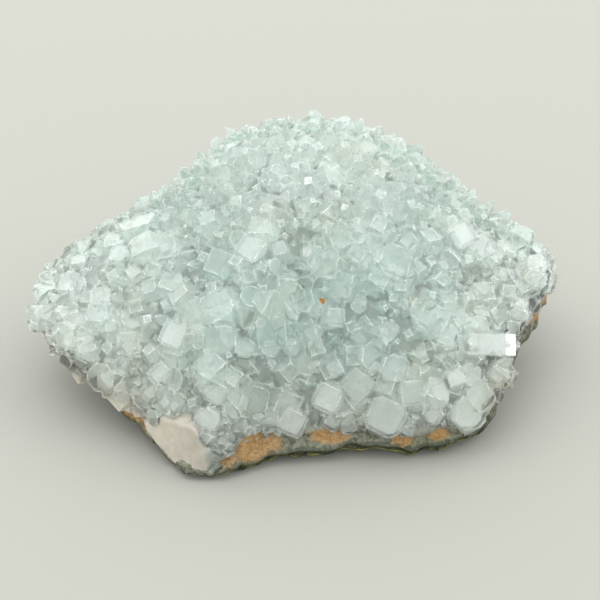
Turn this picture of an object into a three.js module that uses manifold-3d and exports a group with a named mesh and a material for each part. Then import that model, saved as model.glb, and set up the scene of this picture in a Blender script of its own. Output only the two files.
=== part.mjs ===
// An apophyllite cluster: a domed crust of blocky, pointed crystals grown on a thin plate of dark rock.
// Millimetres, +Z up. The origin is on the table, under the middle of the cluster. -Y is its front.
import * as THREE from "three";
import { ConvexGeometry } from "three/addons/geometries/ConvexGeometry.js";
import { mergeVertices } from "three/addons/utils/BufferGeometryUtils.js";
import Module from "manifold-3d";

const wasm = await Module();
wasm.setup();
const { lerp } = THREE.MathUtils;

// ---- Driving dimensions -------------------------------------------------------------------------

// Stations round the cluster, counter-clockwise from its front left corner, seen from above.
// x, y, shoulder: where the dome ends and the rim starts. foot: how far out the rim's foot is, as a
// share of that. seam: height of the crust's lower edge. under: height of the rock's lower edge.
// fullness: 0 for a cone above this station, 1 for a full dome.
const STATIONS = [
  { x: -25.5, y: -40.5, shoulder: 10, foot: 1.035, seam: 3, under: 0, fullness: 1.0 },
  { x: -15, y: -39.5, shoulder: 10, foot: 1.035, seam: 3, under: 0, fullness: 1.0 },
  { x: -5, y: -35, shoulder: 11, foot: 1.01, seam: 4.5, under: 1.5, fullness: 1.0 },
  { x: 15, y: -34, shoulder: 13, foot: 1.0, seam: 6, under: 3, fullness: 1.0 },
  { x: 35, y: -34, shoulder: 12, foot: 1.01, seam: 4, under: 1, fullness: 1.0 },
  { x: 50.5, y: -27, shoulder: 13, foot: 1.0, seam: 5, under: 2, fullness: 0.9 },
  { x: 57, y: -11, shoulder: 20, foot: 0.97, seam: 11, under: 8, fullness: 0.7 },
  { x: 65, y: 2, shoulder: 25, foot: 0.965, seam: 17, under: 14, fullness: 0.5 },
  { x: 69, y: 14, shoulder: 28, foot: 0.965, seam: 19, under: 16, fullness: 0.35 },
  { x: 60, y: 31, shoulder: 27, foot: 0.965, seam: 17, under: 13, fullness: 0.5 },
  { x: 41, y: 45, shoulder: 28, foot: 0.965, seam: 13, under: 9, fullness: 0.8 },
  { x: 15, y: 52, shoulder: 29, foot: 0.965, seam: 11, under: 7, fullness: 0.9 },
  { x: -14, y: 50, shoulder: 28, foot: 0.965, seam: 11, under: 7, fullness: 0.8 },
  { x: -40, y: 38, shoulder: 25, foot: 0.965, seam: 13, under: 9, fullness: 0.5 },
  { x: -60, y: 21, shoulder: 25, foot: 0.965, seam: 17, under: 13, fullness: 0.35 },
  { x: -66, y: 3, shoulder: 25, foot: 0.965, seam: 19, under: 15, fullness: 0.3 },
  { x: -60.5, y: -13.5, shoulder: 21, foot: 0.97, seam: 14.5, under: 11, fullness: 0.5 },
  { x: -50, y: -20, shoulder: 16, foot: 0.985, seam: 9, under: 6, fullness: 0.7 },
  { x: -37, y: -29.5, shoulder: 12, foot: 1.02, seam: 5, under: 2, fullness: 0.9 },
];
const SUMMIT = { x: 6, y: 24, z: 59 };

// Swellings on the dome: place, height and radius.
const SWELLINGS = [
  { x: -15, y: 27, height: 5.5, radius: 9 },
  { x: 30, y: 26, height: 4, radius: 9 },
  { x: 0, y: -8, height: 2.5, radius: 16 },
  { x: -42, y: 14, height: 1, radius: 10 },
  { x: 48, y: 14, height: 2, radius: 9 },
];

const SEAM_GAP = 0.3; // between the rock and the crust
const SKIN_ROUGHNESS = 1.6; // how far the crust's skin rises and falls under the crystals

const ROCK_MIDDLE = 13; // height of the rock's top surface under the summit
const ROCK_INSET = 0.015; // how far the rock's edge stays inside the crust's foot, as a share of reach
const ROCK_UNDERCUT = 0.01; // how far its lower edge stays inside that, as the same share
const ROCK_EDGE_HEIGHT = 0.6; // least height of its lower edge above the table
const ROCK_ROUGHNESS = 0.34; // how far its underside rises and falls
const FLAT_REACH = 0.86; // how far out the rock's flat foot goes where its edge is on the table
const FLAT_DRAW = 0.017; // how much of that is lost for each mm that the edge stands above the table
const ROCK_RADIUS = 50; // the rock's mean radius, which turns a gap in mm into a share of reach

// The crystals: a square prism under a four-sided pyramid whose faces stand over the prism's corners,
// cut off by a small flat top. Of the smallest ones only the pyramid shows.
const PYRAMID_RISE = 1.245; // rise of the pyramid's faces per mm of |x| + |y|
const HALF_WIDTH = { least: 2.3, most: 4.4 };
const BLOCK_HALF_WIDTH = 3.7; // crystals with a smaller half width show only their pyramid
const BLOCK_LENGTH = { least: 0.7, most: 1.25 }; // of a block above the skin, in half widths
const TIP_LENGTH = { least: 1.2, most: 1.8 }; // of a tip above the skin, in half widths
const SHARP_SHARE = 0.35; // share of the blocks that end in a sharp point
const FLAT_TOP = { least: 0.3, most: 1.35 }; // how wide the others' flat tops are, in half widths
const SPACING = 1; // distance between neighbours, times the sum of their half widths
const WIDENING = 0.58; // a crystal's half width, times the distance to its nearest neighbour
const LEAN = 0.36; // how far crystals lean away from the surface's normal
const LOWEST_POINTING = 0.05; // least rise of a crystal's axis
const ROOT = 1.1; // depth of a crystal in the crust, in half widths
const TRIES = 16000;
const TABLE_CLEARANCE = 0.6; // crystals that would reach lower are left out
const RIM_SHARE = 0.2; // share of the tries that fall on the rim
const RIM_BAND = 0.45; // crystals grow on this upper share of the rim's height

// Crystals that stand out by size: the base's middle, the way it points, half width, length and top.
const LARGE_CRYSTALS = [
  // the broken block at the front left corner
  { at: [-25, -36, 5], points: [-0.2, -0.75, 0.65], halfWidth: 6.5, length: 7, top: 1.2 },
  // the prism that lies along the right edge
  { at: [48, -9, 22], points: [0.85, -0.3, 0.1], halfWidth: 3.6, length: 9, top: 0.5 },
  // the bright blocks on the right shoulder and at the right end
  { at: [40, 14, 40], points: [0.3, -0.6, 0.9], halfWidth: 5.2, length: 6, top: 1.1 },
  { at: [63, 14, 26], points: [0.95, -0.25, 0.2], halfWidth: 5.4, length: 7.5, top: 1.3 },
  // the left tip and the block to its right
  { at: [-63, -3, 21], points: [-0.97, -0.1, -0.1], halfWidth: 3.6, length: 7, top: 0.9 },
  { at: [-36, -18, 18], points: [-0.25, -0.8, 0.5], halfWidth: 5, length: 6, top: 1.2 },
];
const LARGE_TURN = 0.6; // how far they are turned about their own axes, in radians

// Fineness of the crust's and the rock's own surfaces.
const SEGMENTS = STATIONS.length;
const DOME_ROWS = 5;
const RIM_ROWS = 2;
const SEAM_ROWS = 2;

// ---- The surfaces -------------------------------------------------------------------------------

const ringOf = (...values) =>
  new THREE.CatmullRomCurve3(
    STATIONS.map((s) => new THREE.Vector3(...values.map((value) => s[value]))),
    true,
    "catmullrom",
    0.5,
  );
const shoulderRing = ringOf("x", "y", "shoulder");
const edgeRing = ringOf("under", "seam", "foot");
const fullnessRing = ringOf("fullness");

// The point on the way from the summit's foot (reach 0) over the shoulder (reach 1), at height z.
function along(u, reach, z) {
  const shoulder = shoulderRing.getPoint(u);
  return new THREE.Vector3(lerp(SUMMIT.x, shoulder.x, reach), lerp(SUMMIT.y, shoulder.y, reach), z);
}

// The dome: a rounded cone from the summit (reach 0) to the shoulder (reach 1), with its swellings.
function domePoint(u, reach) {
  const fullness = fullnessRing.getPoint(u).x;
  const drop = (Math.hypot(reach, fullness) - fullness) / (Math.hypot(1, fullness) - fullness);
  const point = along(u, reach, lerp(SUMMIT.z, shoulderRing.getPoint(u).z, drop));
  for (const { x, y, height, radius } of SWELLINGS) {
    const squared = (point.x - x) ** 2 + (point.y - y) ** 2;
    point.z += height * Math.exp(-squared / (2 * radius * radius)) * (1 - reach ** 4);
  }
  return point;
}

// The rim: from the shoulder (share 0) down to the foot (share 1).
function rimPoint(u, share) {
  const { y: seam, z: foot } = edgeRing.getPoint(u);
  return along(u, lerp(1, foot, share ** 2), lerp(shoulderRing.getPoint(u).z, seam, share));
}

// The seam between rock and crust: highest under the summit.
function seamPoint(u, share, lift) {
  const { y: seam, z: foot } = edgeRing.getPoint(u);
  return along(u, share * (foot - ROCK_INSET), lerp(ROCK_MIDDLE, seam, share ** 2) + lift);
}

const fraction = (value) => value - Math.floor(value);

// A number from 0 to 1 that looks random and is the same in each run.
const chance = (i, kind) => fraction(Math.sin(i * 12.9898 + kind * 78.233) * 43758.5453);

// ---- Solids -------------------------------------------------------------------------------------

// A closed body of revolution, bent to shape: place(u, row) says where its vertex at u, a share of a
// turn, goes on that row of the profile. The first and the last row are points on the axis.
function bentLathe(rows, place) {
  const profile = Array.from({ length: rows }, (_, row) => {
    const angle = (Math.PI * row) / (rows - 1);
    const radius = row === 0 || row === rows - 1 ? 0 : Math.sin(angle);
    return new THREE.Vector2(radius, -Math.cos(angle));
  });
  const lathe = new THREE.LatheGeometry(profile, SEGMENTS);
  const { position, uv } = lathe.attributes;
  for (let i = 0; i < position.count; i++) {
    const segment = Math.round(uv.getX(i) * SEGMENTS) % SEGMENTS;
    const point = place(segment / SEGMENTS, Math.round(uv.getY(i) * (rows - 1)));
    position.setXYZ(i, point.x, point.y, point.z);
  }
  return solidOf(lathe);
}

function solidOf(geometry) {
  const bare = geometry.clone();
  bare.deleteAttribute("normal");
  bare.deleteAttribute("uv");
  const merged = mergeVertices(bare, 1e-3);
  const corners = merged.index.array;
  const kept = [];
  for (let i = 0; i < corners.length; i += 3) {
    const [a, b, c] = corners.slice(i, i + 3);
    if (a !== b && b !== c && c !== a) kept.push(a, b, c);
  }
  return new wasm.Manifold(
    new wasm.Mesh({
      numProp: 3,
      vertProperties: merged.attributes.position.array,
      triVerts: new Uint32Array(kept),
    }),
  );
}

function meshOf(name, solid, material) {
  const { vertProperties, triVerts } = solid.getMesh();
  const geometry = new THREE.BufferGeometry();
  geometry.setAttribute("position", new THREE.BufferAttribute(vertProperties, 3));
  geometry.setIndex(new THREE.BufferAttribute(triVerts, 1));
  geometry.computeVertexNormals();
  const mesh = new THREE.Mesh(geometry, material);
  mesh.name = name;
  return mesh;
}

// The rock plate, in rows from its flat foot on the table (0 and 1) over its undercut (2) and its edge
// (3 and 4) to the seam. gap is how much larger it is, for cutting its bed in the crust.
function rockPlate(gap) {
  const widening = gap / ROCK_RADIUS;
  const rows = 5 + SEAM_ROWS;
  return bentLathe(rows, (u, row) => {
    const { x: under, y: seam, z: foot } = edgeRing.getPoint(u);
    const rough = ROCK_ROUGHNESS * chance(u * SEGMENTS, row);
    const flat = FLAT_REACH - FLAT_DRAW * under;
    const edge = foot - ROCK_INSET + widening;
    if (row === 0) return along(u, 0, -gap);
    if (row === 1) return along(u, flat + widening, -gap);
    if (row === 2) return along(u, lerp(flat, edge, 0.6), 0.4 * under + rough - gap);
    if (row === 3) return along(u, edge - ROCK_UNDERCUT, under + ROCK_EDGE_HEIGHT - gap);
    if (row === 4) return along(u, edge, seam + gap);
    return seamPoint(u, (rows - 1 - row) / SEAM_ROWS, gap);
  });
}

// The massive crust that the crystals grow out of, from the seam round the rim to the summit.
function crustBody() {
  const rows = SEAM_ROWS + RIM_ROWS + DOME_ROWS + 1;
  return bentLathe(rows, (u, row) => {
    if (row < SEAM_ROWS) return seamPoint(u, row / SEAM_ROWS, SEAM_GAP / 2);
    const rimRow = row - SEAM_ROWS;
    if (rimRow < RIM_ROWS) return rimPoint(u, 1 - rimRow / RIM_ROWS);
    const reach = 1 - (rimRow - RIM_ROWS) / DOME_ROWS;
    const point = domePoint(u, reach);
    if (reach > 0) point.z += SKIN_ROUGHNESS * (chance(u * SEGMENTS, row) - 0.5);
    return point;
  });
}

// One crystal, with its base's middle at the origin and its point towards +Z. top is how wide the flat
// top is: 0 for a sharp point, under 1 it lies within the pyramid, above 1 it reaches the prism's faces.
function blockCrystal({ halfWidth, length, top }) {
  const flat = top * halfWidth;
  const apex = length + PYRAMID_RISE * flat;
  const corners = [];
  for (const [sx, sy] of [[1, 1], [1, -1], [-1, -1], [-1, 1]]) {
    corners.push(new THREE.Vector3(sx * halfWidth, sy * halfWidth, -ROOT * halfWidth));
    corners.push(new THREE.Vector3(sx * halfWidth, sy * halfWidth, apex - 2 * PYRAMID_RISE * halfWidth));
    if (top < 1) {
      const [ax, ay] = sx * sy > 0 ? [sx, 0] : [0, sy];
      corners.push(new THREE.Vector3(ax * flat, ay * flat, length));
      corners.push(new THREE.Vector3(ax * halfWidth, ay * halfWidth, apex - PYRAMID_RISE * halfWidth));
    } else {
      corners.push(new THREE.Vector3(sx * halfWidth, sy * (flat - halfWidth), length));
      corners.push(new THREE.Vector3(sx * (flat - halfWidth), sy * halfWidth, length));
    }
  }
  return new ConvexGeometry(corners);
}

// The point of a crystal whose prism is buried: four faces that meet at length above the skin.
function tipCrystal({ halfWidth, length }) {
  const reach = (length + ROOT * halfWidth) / PYRAMID_RISE;
  const corners = [new THREE.Vector3(0, 0, length)];
  for (const [sx, sy] of [[1, 0], [0, 1], [-1, 0], [0, -1]]) {
    corners.push(new THREE.Vector3(sx * reach, sy * reach, -ROOT * halfWidth));
  }
  return new ConvexGeometry(corners);
}

function planted(crystal) {
  const geometry = crystal.block ? blockCrystal(crystal) : tipCrystal(crystal);
  const zAxis = new THREE.Vector3(0, 0, 1);
  const upright = new THREE.Quaternion().setFromUnitVectors(zAxis, crystal.points.clone().normalize());
  const spin = new THREE.Quaternion().setFromAxisAngle(zAxis, crystal.turn);
  geometry.applyQuaternion(upright.multiply(spin));
  return geometry.translate(crystal.at.x, crystal.at.y, crystal.at.z);
}

// Where the skin is at (u, v): v runs from the summit (0) over the shoulder and down the rim (1).
function skinPoint(u, v) {
  const shoulderAt = 1 - RIM_SHARE;
  if (v < shoulderAt) return domePoint(u, Math.sqrt(v / shoulderAt));
  return rimPoint(u, (RIM_BAND * (v - shoulderAt)) / RIM_SHARE);
}

function skinNormal(u, v) {
  const step = 1e-3;
  const inner = Math.min(Math.max(v, 2 * step), 1 - 2 * step);
  const across = skinPoint(u + step, inner).sub(skinPoint(u - step, inner));
  const down = skinPoint(u, inner + step).sub(skinPoint(u, inner - step));
  return down.cross(across).normalize();
}

// Sows crystals over the skin, large ones first: tries places in turn and keeps those that are clear
// of the crystals before them.
function sownCrystals() {
  const kept = LARGE_CRYSTALS.map((large) => ({
    ...large,
    at: new THREE.Vector3(...large.at),
    points: new THREE.Vector3(...large.points),
    turn: LARGE_TURN,
    block: true,
  }));
  for (let i = 0; i < TRIES; i++) {
    const halfWidth = lerp(HALF_WIDTH.least, HALF_WIDTH.most, (1 - i / TRIES) ** 3);
    const [u, v] = [chance(i, 1), chance(i, 2)];
    const at = skinPoint(u, v);
    const crowded = kept.some((other) => other.at.distanceTo(at) < SPACING * (other.halfWidth + halfWidth));
    if (crowded) continue;
    const lean = new THREE.Vector3(chance(i, 3), chance(i, 4), chance(i, 5)).subScalar(0.5);
    const points = skinNormal(u, v).addScaledVector(lean, 2 * LEAN);
    points.z = Math.max(points.z, LOWEST_POINTING);
    const block = halfWidth > BLOCK_HALF_WIDTH;
    const range = block ? BLOCK_LENGTH : TIP_LENGTH;
    const length = halfWidth * lerp(range.least, range.most, chance(i, 6));
    const top = chance(i, 7) < SHARP_SHARE ? 0 : lerp(FLAT_TOP.least, FLAT_TOP.most, chance(i, 9) ** 1.5);
    kept.push({ at, points, halfWidth, length, top, turn: Math.PI * chance(i, 8), block });
  }
  for (const crystal of kept.slice(LARGE_CRYSTALS.length)) {
    const others = kept.filter((other) => other !== crystal);
    const nearest = Math.min(...others.map((other) => other.at.distanceTo(crystal.at)));
    crystal.halfWidth = Math.min(HALF_WIDTH.most, WIDENING * nearest);
  }
  return kept;
}

function crystalCrust() {
  const crystals = sownCrystals().map(planted);
  const clear = crystals.filter((geometry) => {
    geometry.computeBoundingBox();
    return geometry.boundingBox.min.z > TABLE_CLEARANCE;
  });
  return wasm.Manifold.union([crustBody(), ...clear.map(solidOf)]).subtract(rockPlate(SEAM_GAP));
}

// ---- The cluster --------------------------------------------------------------------------------

const paleCrystal = new THREE.MeshStandardMaterial({ color: 0xc3d3cc, roughness: 0.25, metalness: 0 });
const darkRock = new THREE.MeshStandardMaterial({ color: 0x6d6a4f, roughness: 0.9, metalness: 0 });

const cluster = new THREE.Group();
cluster.add(meshOf("rock_matrix", rockPlate(0), darkRock));
cluster.add(meshOf("apophyllite_crystals", crystalCrust(), paleCrystal));

export default cluster;
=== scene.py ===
import math
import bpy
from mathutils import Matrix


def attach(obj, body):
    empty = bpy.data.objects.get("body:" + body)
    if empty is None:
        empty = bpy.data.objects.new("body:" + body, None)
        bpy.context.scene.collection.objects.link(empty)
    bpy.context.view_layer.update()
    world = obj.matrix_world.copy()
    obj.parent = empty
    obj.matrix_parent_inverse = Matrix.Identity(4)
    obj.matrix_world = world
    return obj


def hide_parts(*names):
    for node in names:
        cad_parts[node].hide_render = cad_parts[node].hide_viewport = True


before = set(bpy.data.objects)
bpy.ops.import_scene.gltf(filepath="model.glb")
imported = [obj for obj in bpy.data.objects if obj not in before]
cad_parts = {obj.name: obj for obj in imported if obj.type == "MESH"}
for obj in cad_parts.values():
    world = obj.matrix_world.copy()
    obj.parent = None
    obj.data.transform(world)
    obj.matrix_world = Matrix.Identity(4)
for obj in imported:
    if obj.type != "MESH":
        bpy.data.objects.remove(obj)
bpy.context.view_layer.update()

from types import SimpleNamespace

import bpy
import numpy as np
from mathutils import Vector

# An apophyllite cluster: a domed crust of blocky, pointed, milky crystals on a thin plate of dark rock.
# Shapes are worked out in millimetres and put into meshes in metres. -Y is the cluster's front.
MM = 0.001

# ---- Driving dimensions ----

# Stations round the cluster, counter-clockwise from its front left corner, seen from above: x, y and
# height of the shoulder, where the dome ends and the rim starts; the rim's foot as a share of the way
# out; the heights of the crust's lower edge and of the rock's; and 0 for a cone, 1 for a full dome.
STATIONS = np.array([
    (-25.5, -40.5, 10, 1.035, 1.8, 0, 1.0),
    (-15, -39.5, 10, 1.06, 2.4, 0, 1.0),
    (-5, -35, 11, 1.065, 3, 0.3, 1.0),
    (15, -34, 13, 1.035, 4.4, 1.6, 1.0),
    (35, -34, 12, 1.02, 3.4, 0.5, 1.0),
    (50.5, -27, 13, 1.0, 5, 2, 0.9),
    (57, -11, 20, 1.0, 11, 8, 0.7),
    (65, 2, 25, 1.01, 17, 14, 0.5),
    (69, 14, 28, 0.98, 19, 16, 0.35),
    (60, 31, 23.8, 0.965, 17, 13, 0.35),
    (41, 45, 26, 0.965, 13, 9, 0.7),
    (15, 52, 29, 0.965, 11, 7, 0.9),
    (-14, 50, 28, 0.965, 11, 7, 0.8),
    (-40, 38, 23.5, 0.965, 13, 9, 0.38),
    (-60, 21, 24.5, 0.965, 17, 13, 0.3),
    (-66, 3, 25, 0.965, 19, 15, 0.3),
    (-60.5, -13.5, 21, 0.97, 14.5, 11, 0.5),
    (-50, -20, 16, 0.985, 9, 6, 0.7),
    (-37, -29.5, 12, 1.02, 5, 2, 0.9),
])
SUMMIT = np.array([6.0, 24.0, 59.0])  # the dome's top before the swellings

# Swellings on the dome, and hollows where the height is less than 0: x, y, height and radius.
SWELLINGS = [
    (-15, 27, 6.2, 9),
    (30, 26, 4, 9),
    (0, -8, 2.5, 16),
    (-36, 18, -1.8, 9),
    (48, 14, -0.6, 9),
    (3, 30, 1.3, 8),
]

AROUND = 420  # steps round the cluster
# Waves round the rim, for the foot's share, the seam's height and the rock's height: how many go round,
# how high they are and where they start.
RIM_WAVES = {
    3: [(23, 0.004, 1.0), (41, 0.003, 2.0), (67, 0.002, 0.5)],
    4: [(19, 0.45, 0.4), (37, 0.35, 3.1), (61, 0.25, 5.0)],
    5: [(17, 0.4, 2.2), (31, 0.35, 4.4), (53, 0.25, 1.2)],
}

# The crust and its milky core.
UNDER_ROWS = 13  # rows of points along the underside
RIM_ROWS = 25  # up the rim
DOME_ROWS = 60  # and over the dome
SEAM_GAP = 0.3  # between the rock and the crust
RIM_DEPTH = 0.9  # how far the rim's broken faces stand in or out
BED_DEPTH = 0.8  # the same for the bed between the crystals
CORE_DEPTH = 3.0  # how far the core stays under the dome's skin
CORE_LIFT = 2.2  # how far it stays above the crust's underside
CORE_DRAW = 0.945  # its size seen from above, as a share of the crust's
CORE_NARROWER = 0.9  # the same for each of its crystals
CORE_SEED = 20  # the first kind of chance that its crystals draw

# The rock plate. Shares are of the way from the summit's foot to the shoulder.
ROCK_MIDDLE = 13  # its height in the middle
ROCK_INSET = 0.015  # share by which its edge stays inside the crust's foot
ROCK_UNDERCUT = 0.01  # share by which its edge leans in at the bottom
ROCK_EDGE_HEIGHT = 0.6  # the part of its edge that belongs to the underside's slope
FLAT_REACH = 0.86  # share that the flat foot reaches
FLAT_DRAW = 0.017  # and how much less it is for each mm that the edge is raised

# The crystals. Sizes are half widths.
PYRAMID_RISE = 1.245  # rise of a crystal's end faces per mm of |x| + |y|
HALF_WIDTH = (1.6, 4.7)  # the smallest and the largest
TRIES = 26000  # places tried
LARGE_TRIES = 1500  # tries after which sizes start to fall
SPACING = 0.54  # least distance between two crystals, as a share of their sizes' sum
LENGTH = (0.85, 0.45)  # a crystal's length as a share of its size: the least, and what chance adds
LONGER = 0.4  # how much longer the pointed ones are
FLAT_TOP = (0.06, 1.3, 1.4)  # the same for its flat top's half width, and the power of that chance
SHARPER = 0.6  # how much smaller the pointed ones' flat tops are
MOST_MILK = 0.12  # the most milkiness that chance gives
LEAN = 0.34  # how far a crystal leans from the skin's normal, up to this in each direction
LOWEST_POINTING = 0.05  # the least upward part of the way it points
ROOT = 1.2  # depth of its root, as a share of its size
RIM_SHARE = 0.2  # the share of the skin's v that lies on the rim
RIM_BAND = (0.35, 0.9)  # how far down the rim they grow, as a share, where the band is narrow and wide
RIM_SMALLER = 0.45  # how much smaller they get down the rim
RIM_LARGEST = 2.3  # the largest on the rim
ENDS_SMALLER = 0.2  # how much smaller the largest are at the ends and the top
TABLE_CLEARANCE = 0.8  # least height above the table
GRAIN_SHIFT = 40  # how far apart, at most, two crystals' own coordinates are set


# ---- Surfaces ----

def ring(u):
    """The stations' values at u, a share of a turn: a closed uniform Catmull-Rom curve through them."""
    count = len(STATIONS)
    at = (np.asarray(u, float) % 1) * count
    start = np.floor(at).astype(int)
    f = (at - start)[..., None]
    a, b, c, d = (STATIONS[(start + k) % count] for k in (-1, 0, 1, 2))
    values = b + 0.5 * f * (c - a + f * (2 * a - 5 * b + 4 * c - d + f * (3 * (b - c) + d - a)))
    turn = 2 * math.pi * np.asarray(u, float)
    for column, waves in RIM_WAVES.items():
        for how_many, height, phase in waves:
            values[..., column] += height * np.sin(how_many * turn + phase)
    values[..., 5] = np.maximum(values[..., 5], 0)
    return values


def along(station, reach, z):
    """Points at height z on the straight way from the summit's foot (reach 0) to the shoulder (1)."""
    xy = SUMMIT[:2] + (station[..., :2] - SUMMIT[:2]) * reach[..., None]
    return np.concatenate([xy, z[..., None]], -1)


def dome(u, reach):
    """The dome's skin: height falls from the summit to the shoulder as a hyperbola in reach, rounder where
    the station is fuller, plus a bell-shaped bump for each swelling, faded out towards the shoulder."""
    u, reach = np.broadcast_arrays(np.asarray(u, float), np.asarray(reach, float))
    station = ring(u)
    fullness = station[..., 6]
    drop = (np.hypot(reach, fullness) - fullness) / (np.hypot(1, fullness) - fullness)
    points = along(station, reach, SUMMIT[2] + (station[..., 2] - SUMMIT[2]) * drop)
    for x, y, height, radius in SWELLINGS:
        squared = (points[..., 0] - x) ** 2 + (points[..., 1] - y) ** 2
        points[..., 2] += height * np.exp(-squared / (2 * radius**2)) * (1 - reach**4)
    return points


def rim(u, share):
    """The rim's skin: straight down in height from the shoulder (share 0) to the foot (1), while the reach
    goes from 1 to the foot's with the square of the share."""
    u, share = np.broadcast_arrays(np.asarray(u, float), np.asarray(share, float))
    station = ring(u)
    reach = 1 + (station[..., 3] - 1) * share**2
    return along(station, reach, station[..., 2] + (station[..., 4] - station[..., 2]) * share)


def seam(u, share, lift):
    """The face between rock and crust: a bowl turned over, highest in the middle (share 0)."""
    u, share = np.broadcast_arrays(np.asarray(u, float), np.asarray(share, float))
    station = ring(u)
    z = ROCK_MIDDLE + (station[..., 4] - ROCK_MIDDLE) * share**2 + lift
    return along(station, share * (station[..., 3] - ROCK_INSET), z)


def at_left_end(points):
    """1 at the cluster's left end, falling to 0 at x = -36 mm."""
    return np.clip((-36 - points[..., 0]) / 12, 0, 1)


def skin(u, v):
    """The skin that crystals grow on: the dome, and past v = 1 - RIM_SHARE the upper band of the rim, which
    is narrow along the front and the right end and wide at the back and the left end."""
    shoulder = 1 - RIM_SHARE
    on_dome = dome(u, np.sqrt(np.clip(v / shoulder, 0, 1)))
    station = ring(u)
    at_back = np.clip((station[..., 1] - 12) / 10, 0, 1)
    wide = np.maximum(at_back, at_left_end(station))
    band = RIM_BAND[0] + (RIM_BAND[1] - RIM_BAND[0]) * wide
    on_rim = rim(u, band * np.clip((v - shoulder) / RIM_SHARE, 0, 1))
    return np.where((v < shoulder)[..., None], on_dome, on_rim)


def skin_normal(u, v):
    """The skin's outward normal, from differences of skin() in v and u."""
    step = 1e-3
    inner = np.clip(v, 2 * step, 1 - 2 * step)
    down = skin(u, inner + step) - skin(u, inner - step)
    across = skin(u + step, inner) - skin(u - step, inner)
    return unit(np.cross(down, across))


def unit(vectors):
    """Vectors made 1 long, apart from those without length, which stay 0."""
    return vectors / np.maximum(np.linalg.norm(vectors, axis=-1, keepdims=True), 1e-9)


def chance(i, kind):
    """Numbers from 0 to 1 that look random: the fraction of a large multiple of a sine."""
    value = np.sin(np.asarray(i, float) * 12.9898 + kind * 78.233) * 43758.5453
    return value - np.floor(value)


def cell_chance(cells, kind):
    """The same for whole-number cells (x, y, z)."""
    return chance(cells @ np.array([1.0, 57.0, 113.0]) % 9973, kind)


def facets(points, size):
    """Flat facets with steps between them: space is split into cells round jittered grid points, and each
    cell has a tilted plane. Gives the plane's value at each point, about -1 to 1."""
    base = np.floor(points / size).astype(int)
    nearest = np.full(len(points), np.inf)
    value = np.zeros(len(points))
    for offset in np.ndindex(3, 3, 3):
        cell = base + np.array(offset) - 1
        jitter = np.stack([cell_chance(cell, kind) for kind in (1, 2, 3)], -1)
        away = points / size - (cell + jitter)
        squared = (away**2).sum(-1)
        tilt = np.stack([cell_chance(cell, kind) for kind in (4, 5, 6)], -1) - 0.5
        plane = 2 * (away * tilt).sum(-1) + cell_chance(cell, 7) - 0.5
        closer = squared < nearest
        nearest = np.where(closer, squared, nearest)
        value = np.where(closer, plane, value)
    return value


def bumps(points, size):
    """Smooth value noise from -1 to 1: random values on a grid, blended with smoothstep weights."""
    base = np.floor(points / size)
    f = points / size - base
    f = f * f * (3 - 2 * f)
    total = np.zeros(len(points))
    for corner in np.ndindex(2, 2, 2):
        weight = np.prod(np.where(np.array(corner) == 1, f, 1 - f), -1)
        total += weight * cell_chance(base + np.array(corner), 8)
    return 2 * total - 1


# ---- Meshes ----

def in_order(rows):
    """Rows of values as one list: the first and the last row are single points."""
    return np.concatenate([rows[0, :1], rows[1:-1].reshape(-1, 3), rows[-1, :1]])


def closed_grid(rows):
    """Vertices and faces of a closed surface from rows of points (row, step, xyz) that go round from the
    underside to the top."""
    vertices = in_order(rows)
    count, steps = rows.shape[0] - 2, rows.shape[1]
    index = 1 + np.arange(count * steps).reshape(count, steps)
    beside = np.roll(index, -1, 1)
    quads = np.stack([index[:-1], beside[:-1], beside[1:], index[1:]], -1).reshape(-1, 4)
    pole = np.zeros(steps, int)
    bottom = np.stack([pole, beside[0], index[0]], -1)
    top = np.stack([pole + len(vertices) - 1, index[-1], beside[-1]], -1)
    return vertices, quads, np.concatenate([bottom, top])


def mesh_of(name, vertices, *face_sets):
    """A mesh object at the origin from vertices in millimetres and sets of equal-sided faces."""
    mesh = bpy.data.meshes.new(name)
    mesh.vertices.add(len(vertices))
    mesh.vertices.foreach_set("co", (vertices * MM).astype(np.float32).ravel())
    corners = np.concatenate([faces.ravel() for faces in face_sets])
    sizes = np.concatenate([np.full(len(faces), faces.shape[1]) for faces in face_sets])
    mesh.loops.add(len(corners))
    mesh.loops.foreach_set("vertex_index", corners.astype(np.int32))
    mesh.polygons.add(len(sizes))
    mesh.polygons.foreach_set("loop_start", (np.cumsum(sizes) - sizes).astype(np.int32))
    mesh.polygons.foreach_set("loop_total", sizes.astype(np.int32))
    mesh.update(calc_edges=True)
    piece = bpy.data.objects.new(name, mesh)
    bpy.context.scene.collection.objects.link(piece)
    return piece


def give(mesh, name, values):
    """Stores a vector for each face corner."""
    attribute = mesh.attributes.new(name, "FLOAT_VECTOR", "CORNER")
    attribute.data.foreach_set("vector", values.astype(np.float32).ravel())


def corner_vertices(mesh):
    """The vertex number of each face corner."""
    vertex = np.empty(len(mesh.loops), int)
    mesh.loops.foreach_get("vertex_index", vertex)
    return vertex


def flatten(mesh):
    """Shades every face flat."""
    mesh.polygons.foreach_set("use_smooth", np.zeros(len(mesh.polygons), bool))


# ---- Crystals ----

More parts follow.
